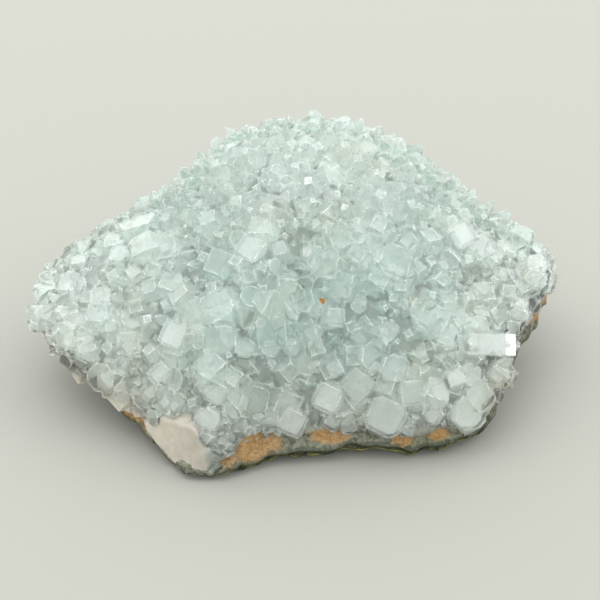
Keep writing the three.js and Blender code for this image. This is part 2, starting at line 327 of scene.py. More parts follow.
# The massive block at the front corner: its middle, and its flat faces, each given by its outward direction
# over its distance from the middle.
BLOCK_AT = (-27, -36, 7)
BLOCK_FACES = np.array([
    (-0.179, -0.198, 0.028), (-0.187, -0.272, 0.063), (-0.055, -0.184, 0.012), (0.057, -0.096, 0.006),
    (0.082, -0.061, 0.075), (-0.059, -0.050, 0.144), (0.005, -0.013, 0.142), (0.062, -0.046, -0.064),
    (0.109, 0.051, -0.003), (0.069, 0.150, -0.001), (-0.073, 0.056, 0.017), (-0.092, -0.007, -0.130),
    (-0.006, 0.006, -0.155),
])
BLOCK_SHARPNESS = 22  # the power of the mean that rounds its edges
BLOCK_CLEARANCE = (10.5, 7.5, 7)  # half sizes of the room round it without sown crystals
BLOCK_NEAR = 1.4  # the skin is drawn in where from_block() is less than this
BLOCK_FADE = 0.25  # fully so where it is less by this much
BLOCK_SINK = 1.6  # by this many mm
BLOCK_STAIN = 1.12  # the bed has the block's colour where from_block() is less than this
LUMP_CLEARANCE = 0.85  # the same room for a lump, as a share of its half sizes

# Lumps of massive crystal, each a bunch of short crystals that point all ways: the middle, the half sizes,
# the crystals' half width and how many there are.
LUMPS = [
    ((51.5, -18.5, 14.6), (6.2, 6, 6.2), 2.8, 11),  # under the lens at the right edge
    ((62.6, 6.6, 26.4), (7.4, 6.8, 6.6), 3.2, 13),  # the right end's large lobe
    ((57.6, -3, 22.4), (5.2, 4.8, 4.8), 2.4, 10),  # and its small one
]

# Crystals that stand out by size or place: the base's middle, the way it points, half width, length, the
# flat top's half width as a share of it, turn in radians and milkiness.
LARGE_CRYSTALS = [
    ((43, 6, 39.5), (0.35, -0.45, 0.8), 4.6, 4.2, 0.9, 0.75, 0.03),  # the block on the right shoulder
    ((50, -17.2, 22), (1, 0.12, -0.12), 3.0, 8.2, 0.12, 0.82, 0.03),  # the lens at the right edge
    ((50, -17.2, 22), (-1, -0.12, 0.12), 3.0, 7.6, 0.12, -0.82, 0.03),
    ((-63, -3, 21), (-0.97, -0.1, -0.1), 3.6, 6, 0.9, 0.5, 0.1),  # the left tip
    ((-29, -18, 25.5), (-0.25, -0.6, 0.75), 4.4, 3.5, 1, 0.7, 0.15),
    ((-42.5, -22.5, 10.5), (-0.45, -0.75, 0.35), 3.8, 3.5, 1.05, 0.3, 0.07),
    ((-32.5, -24.5, 18), (-0.2, -0.7, 0.65), 3.8, 3.0, 0.9, 0.1, 0.07),
    ((-20.5, -36, 13.5), (-0.15, -0.85, 0.45), 3.2, 3.6, 1.15, 0.2, 0.2),  # the front row, from the left
    ((-15.2, -34.8, 15), (0.1, -0.85, 0.5), 2.7, 2.4, 1.05, 0.6, 0.07),
    ((-18.7, -32.5, 18.8), (-0.1, -0.75, 0.65), 3.2, 2.8, 1.02, 0.4, 0.07),
    ((-14.9, -30, 21.5), (0.1, -0.7, 0.7), 3.0, 2.8, 0.9, 0.1, 0.07),
    ((-5.6, -32.8, 12), (0.1, -0.85, 0.5), 3.0, 2.4, 1.05, 0.7, 0.07),
    ((0, -33, 10.5), (0.05, -0.9, 0.35), 4.2, 2.8, 1.05, 0.3, 0.15),
    ((9.3, -30.3, 15.6), (-0.2, -0.8, 0.55), 4.0, 3.6, 1.1, 0.5, 0.2),
    ((10, -33, 10.4), (0, -0.95, 0.3), 2.8, 2.2, 0.9, 0.2, 0.07),
    ((16.3, -28.6, 18.2), (-0.1, -0.8, 0.6), 4.5, 3.0, 1.02, 0.15, 0.07),
    ((23.4, -33, 12.2), (-0.05, -0.9, 0.45), 5.4, 2.6, 1.15, 0.35, 0.15),
    ((25.4, -26, 21.2), (0.05, -0.8, 0.6), 3.75, 3.8, 1.2, 0.4, 0.07),
    ((29.4, -29.4, 16.6), (0.2, -0.8, 0.55), 4.0, 3.4, 1.05, 0.75, 0.07),
    ((35.2, -32.4, 12), (0.1, -0.85, 0.5), 3.2, 2.2, 0.8, 0.1, 0.07),
    ((40.6, -25.8, 17.8), (0.1, -0.55, 0.8), 2.3, 3.2, 1.85, 0.2, 0.2),  # the small cube
    ((43.6, -29.6, 10.6), (0.35, -0.75, 0.5), 4.6, 3.4, 1.25, 0.6, 0.14),  # the block at its right end
    ((39, -18.4, 25.8), (0.2, -0.7, 0.7), 3.6, 2.6, 1.05, 0.3, 0.07),
    ((24, -20.4, 28.8), (0.05, -0.75, 0.65), 2.8, 2.2, 1.05, 0.1, 0.07),
    ((-11.8, -25.2, 27.2), (0.1, -0.75, 0.6), 2.6, 2.2, 1.05, 0.5, 0.07),
    ((-5.6, -23.7, 26), (0.15, -0.75, 0.6), 2.6, 2.2, 1.05, 0.2, 0.07),
    ((-10, -8.4, 45.2), (-0.1, -0.6, 0.8), 4.0, 3.2, 1.02, 0.3, 0.07),
]


def from_block(points):
    """How far points are from the block's middle, as a multiple of the distance to its faces."""
    return ((points - BLOCK_AT) @ BLOCK_FACES.T).max(-1)


def bunch(middle, half_sizes, half_width, count):
    """A lump's crystals, in the form of LARGE_CRYSTALS: they point along a spiral over a ball, each turned
    by the golden angle from the one before, and start a little under halfway out to the half sizes."""
    k = np.arange(count)
    up = 1 - (2 * k + 1) / count
    flat = np.sqrt(1 - up**2)
    angle = 2.4 * k
    ahead = np.stack([flat * np.cos(angle), flat * np.sin(angle), up], -1)
    way = ahead * half_sizes
    length = 0.5 * np.linalg.norm(way, axis=-1)
    top = 0.7 + 0.5 * chance(k, 15)
    turn = np.pi * chance(k, 16)
    same = np.ones(count)
    return list(zip(middle + 0.45 * way, ahead, half_width * same, length, top, turn, 0.08 * same))


def pointed_share(points):
    """1 at the dome's top and back, where crystals are longer and more pointed, 0 on its front."""
    return np.clip((points[:, 2] + 0.6 * points[:, 1] - 38) / 14, 0, 1)


def largest_here(at, v):
    """The largest half width at each place."""
    at_end = np.clip((np.abs(at[:, 0] - SUMMIT[0]) - 38) / 12, 0, 1)
    largest = HALF_WIDTH[1] * (1 - ENDS_SMALLER * np.maximum(pointed_share(at), at_end))
    on_rim = np.minimum(largest, RIM_LARGEST + at_left_end(at))
    return np.where(v > 1 - RIM_SHARE, on_rim, largest)


def sown(large_crystals, kinds):
    """Crystals sown over the skin, large ones first: places are tried in turn, and kept where they are
    clear of the ones before. Half widths fall with the logarithm of the try's number, and are a little
    larger low down."""
    tries = np.arange(TRIES)
    least, most = HALF_WIDTH
    fall = np.log1p(tries / LARGE_TRIES) / np.log1p(TRIES / LARGE_TRIES)
    u, v = chance(tries, kinds + 1), chance(tries, kinds + 2)
    at = skin(u, v)
    half_width = most * (least / most) ** fall * np.clip(1.27 - 0.006 * at[:, 2], 0.9, 1.15)
    down_rim = np.clip((v - 1 + RIM_SHARE) / RIM_SHARE, 0, 1)
    half_width *= 1 - (RIM_SMALLER - 0.25 * at_left_end(at)) * down_rim
    half_width = np.minimum(half_width, largest_here(at, v))
    count = len(large_crystals)
    kept_at = np.zeros((TRIES + count, 3))
    kept_width = np.zeros(TRIES + count)
    kept_at[:count] = [large[0] for large in large_crystals]
    kept_width[:count] = [large[2] for large in large_crystals]
    kept = []
    free = np.linalg.norm((at - BLOCK_AT) / BLOCK_CLEARANCE, axis=-1) > 1
    for middle, half_sizes, _, _ in LUMPS:
        free &= np.linalg.norm((at - middle) / half_sizes, axis=-1) > LUMP_CLEARANCE
    for i in np.flatnonzero(free):
        away = kept_at[:count] - at[i]
        clear = SPACING * (kept_width[:count] + half_width[i])
        if np.all(np.einsum("ij,ij->i", away, away) >= clear**2):
            kept_at[count], kept_width[count] = at[i], half_width[i]
            kept.append(i)
            count += 1
    i = np.array(kept)
    lean = np.stack([chance(i, kinds + kind) for kind in (3, 4, 5)], -1) - 0.5
    normal = skin_normal(u[i], v[i])
    points = normal + 2 * LEAN * lean
    points[:, 2] = np.maximum(points[:, 2], LOWEST_POINTING)
    pointed = pointed_share(at[i])
    sunk = half_width[i] * (0.5 + 0.2 * v[i] ** 2)
    base = at[i] - sunk[:, None] * normal
    length = half_width[i] * (LENGTH[0] + LENGTH[1] * chance(i, kinds + 6)) * (1 + LONGER * pointed)
    top = FLAT_TOP[0] + FLAT_TOP[1] * chance(i, kinds + 7) ** FLAT_TOP[2]
    top = top * (1 - SHARPER * pointed)
    large = [np.array(list(values), float) for values in zip(*large_crystals)]
    milk = MOST_MILK * chance(i, kinds + 9) ** 3
    own = [base, points, half_width[i], length, top, np.pi * chance(i, kinds + 8), milk]
    return [np.concatenate([first, second]) for first, second in zip(large, own)]


def core_crystals(large_crystals):
    """Crystals sown anew for the milky core and sunk under the skin. The small ones are cut off flat before
    they reach it."""
    at, points, half_width, length, top, turn, milk = sown(large_crystals, CORE_SEED)
    number = np.arange(len(at))
    short = (CORE_DEPTH - 0.3) * (0.6 + 0.4 * chance(number, CORE_SEED + 9))
    length = np.where(number < len(large_crystals), length, np.minimum(length, short))
    return at - CORE_DEPTH * unit(points), points, CORE_NARROWER * half_width, length, top, turn, milk


def frames(points, turn):
    """A turned set of axes for each crystal, as rows: side, other side, and the way it points."""
    ahead = unit(points)
    helper = np.where(np.abs(ahead[:, 2:]) < 0.9, [[0.0, 0.0, 1.0]], [[1.0, 0.0, 0.0]])
    side = unit(np.cross(helper, ahead))
    other = np.cross(ahead, side)
    c, s = np.cos(turn)[:, None], np.sin(turn)[:, None]
    return np.stack([c * side + s * other, c * other - s * side, ahead], 1)


def quarter_turns(x, y, z):
    """The point (x, y, z) of each crystal and its three copies, turned by 90 degrees about Z."""
    return np.stack([np.stack(p, -1) for p in ((x, y, z), (-y, x, z), (-x, -y, z), (y, -x, z))], 1)


# Faces of a crystal whose flat top lies within the pyramid, and of one whose top reaches the prism. Corners
# 0 to 3 are the base, 4 to 7 the prism's upper corners, then come the pyramid's and the top's.
WITHIN = (
    [[12, 13, 14, 15], [3, 2, 1, 0]]
    + [[12 + k, 8 + k, 4 + k, 8 + (k + 1) % 4, 12 + (k + 1) % 4] for k in range(4)]
    + [[(k + 3) % 4, k, 4 + k, 8 + k, 4 + (k + 3) % 4] for k in range(4)]
)
ACROSS = (
    [[8, 12, 9, 13, 10, 14, 11, 15], [3, 2, 1, 0]]
    + [[8 + k, 4 + k, 12 + k] for k in range(4)]
    + [[(k + 3) % 4, k, 4 + k, 8 + k, 12 + (k + 3) % 4, 4 + (k + 3) % 4] for k in range(4)]
)


def crystal_corners(half_width, length, top):
    """The 16 corners of each crystal round Z: a square prism under a pyramid |x| + |y| = (H - z) / rise,
    cut off flat at its length."""
    a, s = half_width, top * half_width
    apex = length + PYRAMID_RISE * s
    zero = np.zeros_like(a)
    base = quarter_turns(a, a, -ROOT * a)
    shoulder = quarter_turns(a, a, apex - 2 * PYRAMID_RISE * a)
    within = top[:, None, None] < 1
    ridge = quarter_turns(a, zero, apex - PYRAMID_RISE * a)
    peak = quarter_turns(s, zero, length)
    right = quarter_turns(a, s - a, length)
    left = quarter_turns(s - a, a, length)
    return np.concatenate(
        [base, shoulder, np.where(within, ridge, right), np.where(within, peak, left)], 1
    )


def crystal_triangles(corners, faces):
    """Every face of every crystal as a fan round its middle. Gives the vertices (crystal, vertex, xyz), the
    triangles, and for each triangle's corners the distance in mm to the face's edge."""
    middles = np.stack([corners[:, face].mean(1) for face in faces], 1)
    vertices = np.concatenate([corners, middles], 1)
    fan = [
        (16 + number, start, end)
        for number, face in enumerate(faces)
        for start, end in zip(face, face[1:] + face[:1])
    ]
    fan = np.array(fan)
    centre, start, end = (vertices[:, fan[:, k]] for k in range(3))
    line = unit(end - start)
    away = centre - start
    inward = away - (away * line).sum(-1, keepdims=True) * line
    distance = np.zeros((len(corners), len(fan), 3))
    distance[:, :, 0] = np.linalg.norm(inward, axis=-1)
    return vertices, fan, distance


def crystal_mesh(name, chosen, at, axes, half_width, length, top, milk):
    """One mesh of the chosen crystals, with what the finish reads at their corners: the distance to the
    face's edge and 1 for a crystal; the crystal's own chance and milkiness; and coordinates of its own."""
    groups = []
    for faces, here in ((WITHIN, chosen & (top < 1)), (ACROSS, chosen & (top >= 1))):
        which = np.flatnonzero(here)
        if len(which) == 0:
            continue
        corners = crystal_corners(half_width[which], length[which], top[which])
        vertices, fan, distance = crystal_triangles(corners, faces)
        placed = np.einsum("nvk,nkx->nvx", vertices, axes[which]) + at[which, None]
        offset = np.arange(len(which))[:, None, None] * vertices.shape[1]
        local = vertices[:, fan]
        own = np.stack([chance(which, 9), milk[which], 0 * milk[which]], -1)
        nature = np.broadcast_to(own[:, None, None], local.shape)
        shift = GRAIN_SHIFT * np.stack([chance(which, kind) for kind in (10, 11, 12)], -1)[:, None, None]
        groups.append((placed.reshape(-1, 3), (fan[None] + offset).reshape(-1, 3),
                       np.stack([distance, 0 * distance, 0 * distance + 1], -1).reshape(-1, 3),
                       (local + shift).reshape(-1, 3), nature.reshape(-1, 3)))
    starts = np.cumsum([0] + [len(group[0]) for group in groups])
    triangles = [group[1] + start for group, start in zip(groups, starts)]
    piece = mesh_of(name, np.concatenate([group[0] for group in groups]), np.concatenate(triangles))
    for column, attribute in ((2, "crystal"), (3, "grain"), (4, "nature")):
        give(piece.data, attribute, np.concatenate([group[column] for group in groups]))
    flatten(piece.data)
    return piece


# ---- Crust and rock ----

def massive(points, normal, amount):
    """Broken massive crystal: flat facets in upright columns, with finer steps, pushed along the normal by
    amount (in mm, for each point)."""
    columns = points * np.array([1, 1, 0.45])
    push = 0.75 * facets(columns, 4.5) + 0.25 * facets(points + 31, 1.7)
    return points + normal * (amount * push)[:, None]


def outward(rows):
    """Outward normals of rows of points, from differences to the next row and the next step."""
    down = np.gradient(rows, axis=0)
    across = np.roll(rows, -1, 1) - np.roll(rows, 1, 1)
    return unit(np.cross(across, down))


def crust_rows():
    """The crust's bed in rows: out along the seam, up the rim and over the dome. The rim and the gaps
    between crystals are broken massive crystal."""
    u = np.arange(AROUND) / AROUND
    underside = [seam(u, share, SEAM_GAP) for share in np.linspace(0, 1, UNDER_ROWS + 1)[:-1] ** 0.6]
    side = [rim(u, share) for share in np.linspace(1, 0, RIM_ROWS + 1)[:-1]]
    over = [dome(u, reach) for reach in np.linspace(1, 0, DOME_ROWS)]
    rows = np.array(underside + side + over)
    amount = np.zeros(rows.shape[:2])
    starts = len(underside)
    amount[starts:starts + len(side)] = RIM_DEPTH * np.sin(np.linspace(0.15, 1.4, len(side)))[:, None]
    amount[starts + len(side):-1] = BED_DEPTH
    normal = outward(rows)
    near_block = np.clip((BLOCK_NEAR - from_block(rows)) / BLOCK_FADE, 0, 1)
    near_block *= np.clip((np.arange(len(rows)) - starts) / 10, 0, 1)[:, None]
    rows = rows - normal * BLOCK_SINK * near_block[..., None]
    moved = massive(rows.reshape(-1, 3), normal.reshape(-1, 3), (amount * (1 - near_block)).ravel())
    return moved.reshape(rows.shape)


def core_rows(rows):
    """The milky core's bed: the crust's rows drawn in towards the middle, lowered over the dome and raised
    along the seam, with a straight change from one to the other up the rim."""
    inner = rows.copy()
    inner[..., :2] = SUMMIT[:2] + CORE_DRAW * (rows[..., :2] - SUMMIT[:2])
    lift = np.full(len(rows), -CORE_DEPTH)
    lift[:UNDER_ROWS] = CORE_LIFT
    lift[UNDER_ROWS:UNDER_ROWS + RIM_ROWS] = np.linspace(CORE_LIFT, -CORE_DEPTH, RIM_ROWS)
    inner[..., 2] += lift[:, None]
    return inner


def rock_rows():
    """The rock plate in rows: out along its flat foot, up its rough underside to the edge, up the edge and
    in along the seam. Height of the underside rises with a power of the way out; bumps and facets only
    ever lift it."""
    u = np.arange(AROUND) / AROUND
    station = ring(u)
    seam_height, under, edge = station[:, 4], station[:, 5], station[:, 3] - ROCK_INSET
    flat = FLAT_REACH - FLAT_DRAW * under
    lower = edge - ROCK_UNDERCUT
    foot = [along(station, share * flat, np.zeros(AROUND)) for share in np.linspace(0, 1, 7)]
    slope = [
        along(station, flat + (lower - flat) * t, (under + ROCK_EDGE_HEIGHT) * t**1.6)
        for t in np.linspace(0, 1, 22)[1:]
    ]
    side = [
        along(station, lower + ROCK_UNDERCUT * t, under + ROCK_EDGE_HEIGHT
              + (seam_height - under - ROCK_EDGE_HEIGHT) * t)
        for t in np.linspace(0, 1, 9)[1:]
    ]
    top = [seam(u, share, 0) for share in np.linspace(1, 0, 12)[1:] ** 0.7]
    rows = np.array(foot + slope + side + top)
    flat_points = rows.reshape(-1, 3)
    rough = 0.6 * facets(flat_points, 2.6) + 0.4 * bumps(flat_points, 1.2)
    rough = rough.reshape(rows.shape[:2])
    amount = np.zeros(len(rows))
    first, last = len(foot), len(foot) + len(slope)
    amount[first:last] = 0.6 * np.sin(np.linspace(0.1, 1.5, len(slope)))
    amount[last:last + len(side) - 1] = 0.8
    normal = outward(rows)
    rows = rows + normal * (amount[:, None] * rough)[..., None]
    rows[first:, :, 2] = np.maximum(rows[first:, :, 2], 0.02)
    return rows


def lifted(rows, gap):
    """Rows of points moved outwards by a gap in mm."""
    return rows + outward(rows) * gap


# Tan stains on the rim: middle and radii in mm.
STAINS = [
    ((-9, -37, 5.5), (7.5, 9, 5.5)),
    ((-16, -40, 2.5), (3, 4, 3)),
    ((9.5, -34, 7), (6, 4, 2.6)),
    ((27.5, -34, 6), (3.4, 4, 3)),
    ((37, -33, 6.5), (3.5, 4, 2)),
    ((-52, -19, 12), (8, 6, 4)),
    ((-40, -28, 7), (6, 6, 3.5)),
    ((65, 5, 20.5), (6, 12, 4.5)),
    ((-20, 50, 13), (9, 6, 4)),
    ((50, 38, 15), (8, 7, 4)),
]
CRUMB_AT = (7.5, -17.7, 36.2)  # a crumb of stained rock among the crystals, in mm


def stain_depth(points):
    """How deep each point is in the nearest stain: 1 in the middle, 0 at its edge, less outside."""
    depth = [1 - np.linalg.norm((points - middle) / radii, axis=-1) for middle, radii in STAINS]
    return np.maximum(np.max(depth, axis=0), -1)


def separate_groups(at, reach):
    """Sorts the crystals into groups whose crystals don't touch: each takes the first group that is free of
    crystals within their two reaches."""
    group = np.full(len(at), -1)
    for i in range(len(at)):
        near = np.linalg.norm(at - at[i], axis=1) < reach + reach[i]
        taken = set(group[near & (group >= 0)].tolist())
        group[i] = min(set(range(len(taken) + 1)) - taken)
    return group


def grown_together(body, tools):
    """Joins the crystals to the body, and cuts the rest away, into one closed mesh."""
    for tool, operation in tools:
        step = body.modifiers.new(tool.name, "BOOLEAN")
        step.operation = operation
        step.solver = "MANIFOLD"
        step.object = tool
    evaluated = body.evaluated_get(bpy.context.evaluated_depsgraph_get())
    mesh = bpy.data.meshes.new_from_object(evaluated)
    mesh.materials.clear()
    body.modifiers.clear()
    old = body.data
    body.data = mesh
    bpy.data.meshes.remove(old)
    for tool, operation in tools:
        if operation == "UNION":
            bpy.data.meshes.remove(tool.data)


def below_table():
    """A wide block whose top is the least height of any crystal."""
    reach, depth = 100, 40
    corners = np.array([
        (x, y, z) for z in (-depth, TABLE_CLEARANCE) for y in (-reach, reach) for x in (-reach, reach)
    ], float)
    faces = np.array([[0, 2, 3, 1], [4, 5, 7, 6], [0, 1, 5, 4], [1, 3, 7, 5], [3, 2, 6, 7], [2, 0, 4, 6]])
    return mesh_of("below table", corners, faces)


def broken_block():
    """The massive block at the front corner, as distance from its middle in each direction: the nearest of
    its flat faces, with the edges between them rounded by a power mean, and broken into small facets."""
    turn = 2 * math.pi * np.arange(120) / 120
    tilt = np.linspace(-math.pi / 2, math.pi / 2, 60)[:, None]
    flat = np.cos(tilt)
    direction = np.stack([flat * np.cos(turn), flat * np.sin(turn), np.sin(tilt) + 0 * turn], -1)
    nearness = np.maximum(direction @ BLOCK_FACES.T, 0)
    distance = (nearness**BLOCK_SHARPNESS).sum(-1) ** (-1 / BLOCK_SHARPNESS)
    rows = direction * distance[..., None] + BLOCK_AT
    points = rows.reshape(-1, 3)
    push = (0.2 * facets(points * [1, 1, 0.5], 3.4) + 0.06 * facets(points, 1.1)).reshape(rows.shape[:2])
    rows[1:-1] += (direction * push[..., None])[1:-1]
    piece = mesh_of("broken block", *closed_grid(rows))
    read = {"crystal": [-1.0, 0, 0], "nature": [0.5, 1, 0.5], "grain": [-1.0, 20, 0]}
    for attribute, values in read.items():
        give(piece.data, attribute, np.broadcast_to(values, (len(piece.data.loops), 3)))
    return piece


def druse_piece(name, crust, crystals, cuts, blocks=()):
    """The crust with all its crystals and blocks, clear of the rock and the table. At the bed's corners the
    finish reads how deep in a stain and how high above the rock they are."""
    body = mesh_of(name, *closed_grid(crust))
    vertex = corner_vertices(body.data)
    give(body.data, "crystal", np.broadcast_to([-1.0, 0, 0], (len(vertex), 3)))
    near_block = from_block(crust) < BLOCK_STAIN
    height = crust[..., 2] - ring(np.arange(AROUND) / AROUND)[:, 4]
    bed = in_order(np.stack([stain_depth(crust), height, 0 * height], -1))
    give(body.data, "grain", bed[vertex])
    nature = in_order(np.stack([0 * height + 0.5, 1.0 * near_block, 0 * height + 0.5], -1))
    give(body.data, "nature", nature[vertex])
    at, points, half_width, length, top, turn, milk = crystals
    axes = frames(points, turn)
    reach = np.hypot(1.42 * half_width, np.maximum(length, ROOT * half_width))
    group = separate_groups(at, reach)
    bunches = [
        crystal_mesh(f"crystals {number}", group == number, at, axes, half_width, length, top, milk)
        for number in range(group.max() + 1)
    ]
    tools = [(tool, "UNION") for tool in [*blocks, *bunches]]
    grown_together(body, tools + [(cut, "DIFFERENCE") for cut in cuts])
    return body


# ---- Finishes ----

class Finish:
    """A material and its nodes."""

    def __init__(self, name):
        self.material = bpy.data.materials.new(name)
        self.material.use_nodes = True
        self.tree = self.material.node_tree
        self.tree.nodes.clear()

    def add(self, kind, inputs=(), **settings):
        node = self.tree.nodes.new("ShaderNode" + kind)
        for key, value in settings.items():
            setattr(node, key, value)
        for key, value in dict(inputs).items():
            if isinstance(value, bpy.types.NodeSocket):
                self.tree.links.new(value, node.inputs[key])
            else:
                node.inputs[key].default_value = value
        return node

    def math(self, operation, a, b=0.0, c=0.0, clamp=False):
        return self.add("Math", {0: a, 1: b, 2: c}, operation=operation, use_clamp=clamp).outputs[0]

    def times(self, a, b):
        return self.math("MULTIPLY", a, b)

    def spread(self, value, low, high, to_low=0.0, to_high=1.0):
        """A smooth step of value from low to high."""
        inputs = {"Value": value, "From Min": low, "From Max": high, "To Min": to_low, "To Max": to_high}
        return self.add("MapRange", inputs, interpolation_type="SMOOTHSTEP").outputs["Result"]

    def fall(self, value, low, high):
        """The same, downwards."""
        return self.spread(value, low, high, 1.0, 0.0)

    def noise(self, vector, scale, detail=2.0, roughness=0.5, distortion=0.0):
        inputs = {"Vector": vector, "Scale": scale, "Detail": detail, "Roughness": roughness,
                  "Distortion": distortion}
        return self.add("TexNoise", inputs).outputs[0]

    def stretched(self, vector, scale):
        return self.add("Mapping", {"Vector": vector, "Scale": scale}).outputs["Vector"]

    def blend(self, factor, first, second):
        """A colour between two."""
        first, second = ((*c, 1) if isinstance(c, tuple) else c for c in (first, second))
        return self.add("Mix", {0: factor, 6: first, 7: second}, data_type="RGBA").outputs[2]

    def attribute(self, name):
        vector = self.add("Attribute", attribute_name=name).outputs["Vector"]
        return vector, self.add("SeparateXYZ", {0: vector}).outputs

    def coordinates(self):
        """Object coordinates in millimetres, and their parts."""
        place = self.add("TexCoord").outputs["Object"]
        vector = self.add("VectorMath", {0: place, 3: 1 / MM}, operation="SCALE").outputs[0]
        return vector, self.add("SeparateXYZ", {0: vector}).outputs

    def made(self, inputs, volume=None):
        """The material, with a shader of these inputs and an absorbing volume: its colour and density."""
        shader = self.add("BsdfPrincipled", inputs)
        output = self.add("OutputMaterial", {"Surface": shader.outputs[0]})
        if volume:
            colour, density = volume
            absorption = self.add("VolumeAbsorption", {"Color": (*colour, 1), "Density": density})
            self.tree.links.new(absorption.outputs[0], output.inputs["Volume"])
        return self.material


def crystal_values(finish):
    """What both crystal finishes read: place in mm; distance to a face's edge; whether it is a crystal or
    the bed; coordinates that turn with the crystal; how deep in a stain and how high above the rock the bed
    is; the crystal's own chance and milkiness; and how much it whitens towards the two ends and the top,
    which is painted light in the colour and a little more milkiness and roughness."""
    place, (x, _, z) = finish.coordinates()
    _, (distance, _, is_crystal) = finish.attribute("crystal")
    grain, (stain, height, _) = finish.attribute("grain")
    _, (own, milk, _) = finish.attribute("nature")
    bed_place = finish.stretched(place, (1, 1, 0.3))
    local = finish.add("Mix", {0: is_crystal, 4: bed_place, 5: grain}, data_type="VECTOR").outputs[1]
    # Painted light: the colour is made paler towards the two ends and the top, standing in for the light
    # they catch.
    ends = finish.spread(finish.math("ABSOLUTE", finish.math("SUBTRACT", x, 6)), 12, 46)
    ends = finish.times(ends, finish.spread(z, 10, 30, 0.45, 1.0))
    painted_light_and_milk = finish.math("MAXIMUM", ends, finish.spread(z, 36, 54))
    return SimpleNamespace(
        place=place, x=x, z=z, distance=distance, is_crystal=is_crystal, local=local,
        is_bed=finish.math("SUBTRACT", 1.0, is_crystal), stain=stain, height=height, own=own, milk=milk,
        painted_light_and_milk=painted_light_and_milk,
    )


def crystal_tone(finish, part):
    """Clear crystal's colour: pale along a wavy band inside each face's edge, a painted highlight of the
    edges catching light, and greener in its middle; paler towards the ends and the top, which is painted
    light;
    warmer low down, which is painted warm light bounced from below; and warmer in drifts and at the
    lower right."""
    grain = finish.spread(finish.noise(part.local, 1.5, 4.0, 0.6), 0.35, 0.65)
    # Painted highlight: the pale tone along the faces' edges, where they catch light.
    painted_edge_light = finish.blend(part.own, (0.93, 0.97, 0.96), (0.99, 0.995, 0.985))
    painted_edge_light = finish.blend(finish.times(grain, 0.35), painted_edge_light, (0.78, 0.85, 0.83))
    middle = finish.blend(part.own, (0.78, 0.87, 0.86), (0.89, 0.94, 0.92))
    # Painted light: the middle is made paler towards the ends and the top.
    middle = finish.blend(part.painted_light_and_milk, middle, (0.98, 0.99, 0.98))
    wavy = finish.math("MULTIPLY_ADD", finish.noise(part.local, 0.9, 2.0), 1.2, part.distance)
    painted_edge_light_share = finish.times(finish.fall(wavy, 0.6, 1.9), part.is_crystal)
    tone = finish.blend(painted_edge_light_share, middle, painted_edge_light)
    tone = finish.blend(part.is_bed, tone, (0.86, 0.91, 0.87))
    # Painted warm bounce light: the colour is warmer low down.
    tone = finish.blend(finish.spread(part.z, 12, 30, 0.5, 0.0), tone, (0.97, 0.92, 0.90))
    drifts = finish.spread(finish.noise(part.place, 0.11, 3.0), 0.5, 0.68, 0.0, 0.6)
    tone = finish.blend(drifts, tone, (0.95, 0.92, 0.84))
    lower_right = finish.times(finish.spread(part.x, 44, 52), finish.spread(part.z, 14, 20, 0.8, 0.0))
    return finish.blend(lower_right, tone, (0.86, 0.80, 0.68))


def block_tone(finish, part, right_side):
    """The massive block's colour: beige, and grey-green on its right side."""
    cloud = finish.spread(finish.noise(part.place, 0.35, 3.0), 0.35, 0.65)
    beige = finish.blend(cloud, (0.44, 0.385, 0.33), (0.50, 0.44, 0.385))
    return finish.blend(right_side, beige, (0.44, 0.46, 0.41))


def earth_shares(finish, part, not_block):
    """How much of each earthy layer there is: the bed's low part along the rim, the rim at the left, the
    stains, the rind along the rock, and the crumb."""
    low_bed = finish.times(part.is_bed, finish.fall(part.height, 3.5, 8.0))
    low_bed = finish.times(low_bed, not_block)
    left_rim = finish.math("MULTIPLY_ADD", part.x, 0.2, part.z)
    left_rim = finish.math("MULTIPLY_ADD", finish.noise(part.place, 0.5, 3.0), 3.0, left_rim)
    left_rim = finish.fall(left_rim, 0.0, 7.0)
    left_rim = finish.times(left_rim, finish.fall(part.x, -32, -26))
    left_rim = finish.times(left_rim, not_block)
    ragged = finish.math("MULTIPLY_ADD", finish.noise(part.place, 0.55, 4.0, 0.6), 0.9, part.stain)
    stained = finish.times(finish.spread(ragged, 0.48, 0.78), part.is_bed)
    rind = finish.math("MULTIPLY_ADD", finish.noise(part.place, 0.8, 3.0), 3.0, -1.5)
    rind = finish.fall(finish.math("ADD", part.height, rind), 0.3, 1.3)
    rind = finish.times(rind, part.is_bed)
    away = finish.add("VectorMath", {0: part.place, 1: CRUMB_AT}, operation="DISTANCE").outputs["Value"]
    away = finish.math("MULTIPLY_ADD", finish.noise(part.place, 1.5, 2.0), 0.8, away)
    crumb = finish.fall(away, 1.1, 1.5)
    return SimpleNamespace(low_bed=low_bed, left_rim=left_rim, stained=stained, rind=rind, crumb=crumb)


def earthy_tone(finish, part, tone, earth):
    """The colour with the earthy layers over it, in the order of earth_shares()."""
    mottling = finish.spread(finish.noise(part.place, 0.7, 5.0, 0.7), 0.4, 0.62)
    rim = finish.blend(mottling, (0.055, 0.06, 0.038), (0.21, 0.205, 0.145))
    tone = finish.blend(earth.low_bed, tone, rim)
    left_tint = finish.math("MULTIPLY_ADD", part.is_crystal, -0.45, 0.9)
    tone = finish.blend(finish.times(earth.left_rim, left_tint), tone, (0.45, 0.33, 0.19))
    rust = finish.spread(finish.noise(part.place, 1.3, 5.0, 0.75), 0.3, 0.7)
    rust = finish.blend(rust, (0.24, 0.105, 0.025), (0.44, 0.275, 0.11))
    tone = finish.blend(earth.stained, tone, rust)
    tone = finish.blend(finish.times(earth.rind, 0.85), tone, (0.045, 0.055, 0.028))
    return finish.blend(earth.crumb, tone, (0.42, 0.2, 0.06))


